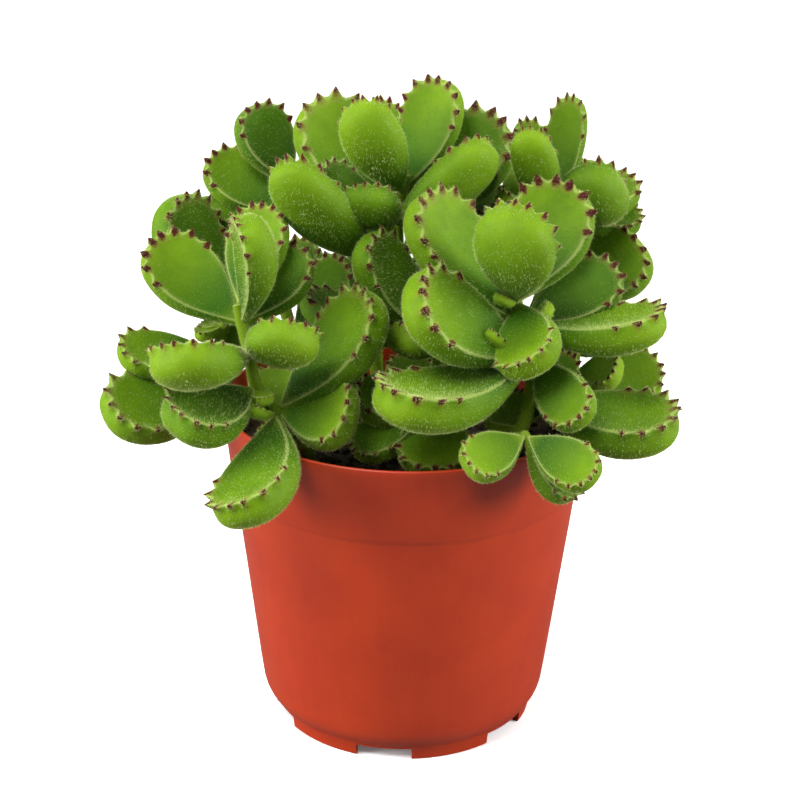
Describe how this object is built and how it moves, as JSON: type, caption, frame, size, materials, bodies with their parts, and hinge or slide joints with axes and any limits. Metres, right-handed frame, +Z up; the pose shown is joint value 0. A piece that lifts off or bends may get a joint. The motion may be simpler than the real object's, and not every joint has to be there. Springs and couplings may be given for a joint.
{
  "type": "bears paw succulent in a nursery pot",
  "caption": "Bushy bear's paw succulent with plump, furry, claw-toothed leaves on short branching stems, growing in a round tapered plastic nursery pot filled with soil.",
  "frame": {"origin": "on the surface that the pot stands on, on the pot's axis, under the middle of the whole object", "axes": "+Z up along the pot's axis; -Y towards the front, where leaves hang over the rim; +X to the right seen from the front"},
  "size_m": [0.1661, 0.1396, 0.1867],
  "materials": {
    "pot_plastic": "satin",
    "potting_mix": "rough",
    "foliage": "velvety"
  },
  "bodies": {
    "root": {"pot": "pot_plastic", "soil": "potting_mix", "stem_front_left": "foliage", "stem_left": "foliage", "stem_back_left": "foliage", "stem_centre": "foliage", "stem_front_right": "foliage", "stem_low_right": "foliage", "stem_middle": "foliage", "stem_right": "foliage", "stem_back": "foliage", "stem_back_right": "foliage", "stem_far_left": "foliage"}
  },
  "joints": []
}
